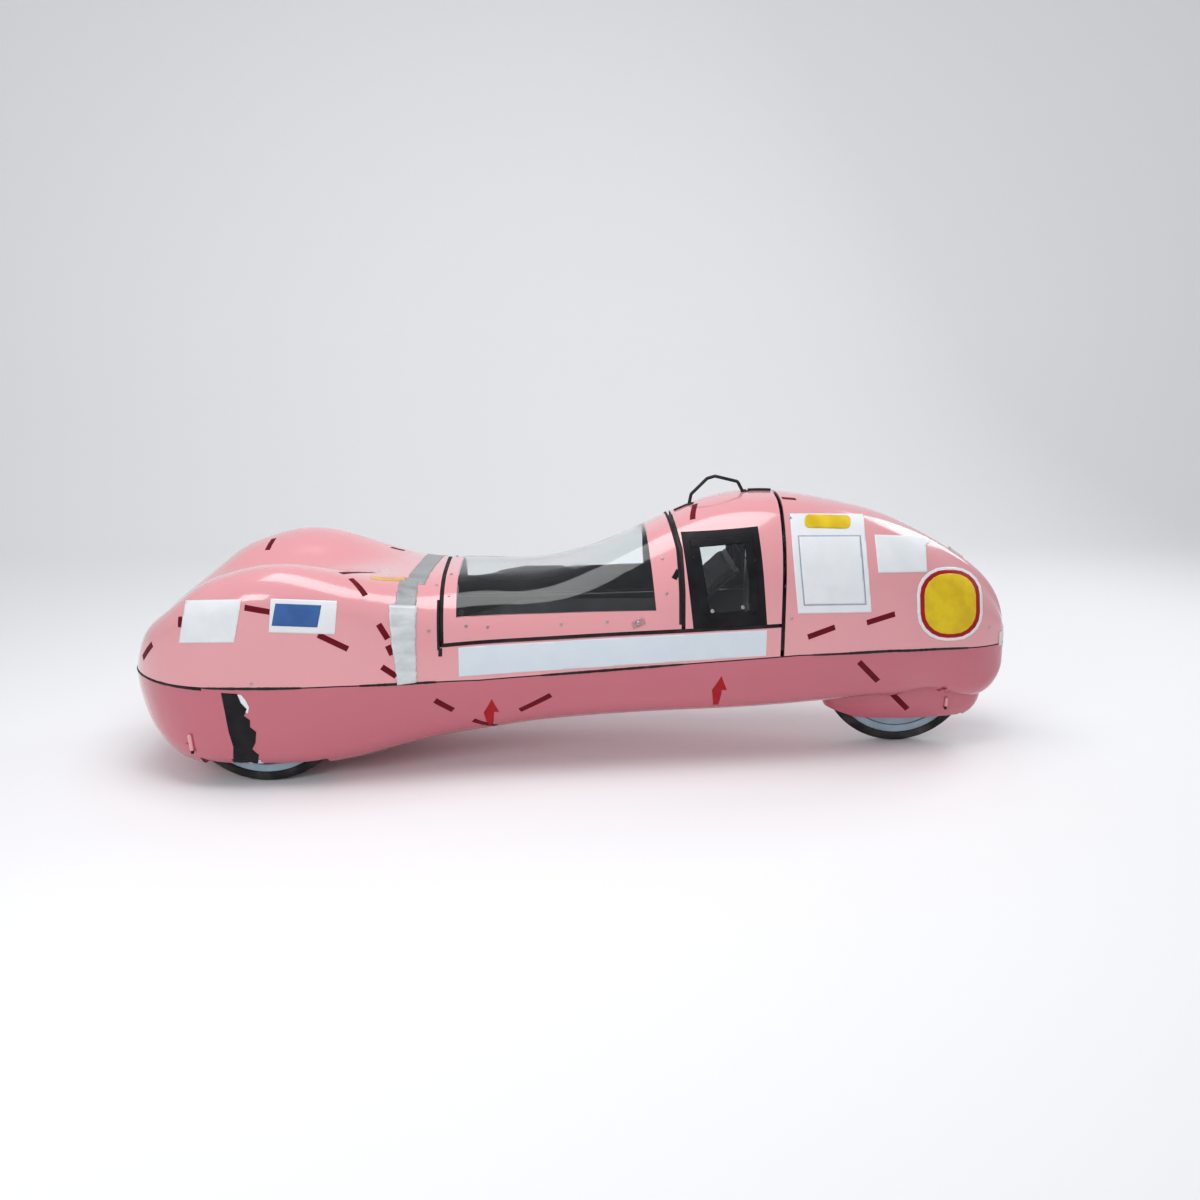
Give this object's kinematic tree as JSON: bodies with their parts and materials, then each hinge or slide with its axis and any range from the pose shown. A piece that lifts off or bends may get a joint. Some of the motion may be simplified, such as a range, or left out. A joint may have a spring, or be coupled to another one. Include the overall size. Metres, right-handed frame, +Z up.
{
  "type": "velomobile",
  "caption": "One-seat velomobile with a closed pink moulded body, two steered front wheels, one rear wheel, a clear side-opening canopy and a roof hatch with windows.",
  "frame": {"origin": "on the ground, at the middle of the length and width", "axes": "+X toward the tail, +Y to the vehicle's right-hand side, +Z up"},
  "size_m": [2.696, 0.7402, 0.8716],
  "materials": {
    "pink_shell": "glossy salmon pink gel coat",
    "black_seal": "matt",
    "clear_sheet": "clear bent plastic sheet",
    "black_frame": "black tape and trim",
    "frame_tube": "satin",
    "steel": "machined",
    "black_bar": "semi gloss",
    "seat_pad": "black woven cover",
    "black_panel": "black laminate",
    "engine": "plain block",
    "black_wire": "dark coated wire",
    "clip": "off white",
    "wheel_disc": "light blue-grey disc",
    "tyre": "black"
  },
  "bodies": {
    "body": {"lower_shell": "pink_shell", "parting_seal": "black_seal", "nose_shell": "pink_shell", "tail_shell": "pink_shell", "frame_rail_left": "frame_tube", "frame_rail_right": "frame_tube", "rear_crossmember": "frame_tube", "shell_posts": "frame_tube", "front_axle_beam": "frame_tube", "steering_socket": "frame_tube", "rear_fork_left": "frame_tube", "rear_fork_right": "frame_tube", "rear_axle": "steel", "seat": "seat_pad", "roll_hoop": "frame_tube", "bulkhead": "black_panel", "engine_block": "engine", "canopy_hinge_brackets": "steel", "hatch_hinge_brackets": "steel", "tail_clip": "clip", "tail_latch": "clip", "towing_bosses": "pink_shell"},
    "canopy": {"canopy_frame": "pink_shell", "canopy_glazing": "clear_sheet", "canopy_hinge_knuckles": "steel"},
    "hatch": {"hatch_shell": "pink_shell", "hatch_window_frame_left": "black_frame", "hatch_window_frame_right": "black_frame", "hatch_window_left": "clear_sheet", "hatch_window_right": "clear_sheet", "hatch_hinge_knuckles": "steel", "roof_handle": "black_wire"},
    "left_knuckle": {"knuckle_left": "steel"},
    "right_knuckle": {"knuckle_right": "steel"},
    "tie_rod": {"tie_rod": "steel"},
    "steering_bar": {"steering_bar": "black_bar"},
    "front_left_wheel": {"front_left_wheel": "wheel_disc", "front_left_tyre": "tyre"},
    "front_right_wheel": {"front_right_wheel": "wheel_disc", "front_right_tyre": "tyre"},
    "rear_wheel": {"rear_wheel": "wheel_disc", "rear_tyre": "tyre"}
  },
  "joints": [
    {"name": "canopy_hinge", "type": "hinge", "parent": "body", "child": "canopy", "pos_m": [-0.075, 0.306, 0.4372], "axis": [-1, 0, 0], "range_deg": [0, 75]},
    {"name": "hatch_hinge", "type": "hinge", "parent": "body", "child": "hatch", "pos_m": [0.45, 0.262, 0.45343], "axis": [-1, 0, 0], "range_deg": [0, 75]},
    {"name": "left_steer", "type": "hinge", "parent": "body", "child": "left_knuckle", "pos_m": [-0.935, -0.185, 0.245], "axis": [0, 0, 1], "range_deg": [-7, 7]},
    {"name": "right_steer", "type": "hinge", "parent": "body", "child": "right_knuckle", "pos_m": [-0.935, 0.185, 0.245], "axis": [0, 0, 1], "range_deg": [-7, 7]},
    {"name": "tie_rod_pivot", "type": "hinge", "parent": "left_knuckle", "child": "tie_rod", "pos_m": [-1.025, -0.185, 0.245], "axis": [0, 0, 1], "range_deg": [-7, 7]},
    {"name": "steering_bar_turn", "type": "hinge", "parent": "body", "child": "steering_bar", "pos_m": [-0.52, 0, 0.245], "axis": [0.6428, 0, 0.766], "range_deg": [-21, 21]},
    {"name": "front_left_spin", "type": "hinge", "parent": "left_knuckle", "child": "front_left_wheel", "pos_m": [-0.935, -0.245, 0.245], "axis": [0, 1, 0], "continuous": true},
    {"name": "front_right_spin", "type": "hinge", "parent": "right_knuckle", "child": "front_right_wheel", "pos_m": [-0.935, 0.245, 0.245], "axis": [0, 1, 0], "continuous": true},
    {"name": "rear_spin", "type": "hinge", "parent": "body", "child": "rear_wheel", "pos_m": [1.022, 0, 0.245], "axis": [0, 1, 0], "continuous": true}
  ],
  "couplings": [
    {"joint": "right_steer", "follows": "left_steer", "ratio": 1},
    {"joint": "tie_rod_pivot", "follows": "left_steer", "ratio": -1},
    {"joint": "steering_bar_turn", "follows": "left_steer", "ratio": 3}
  ]
}
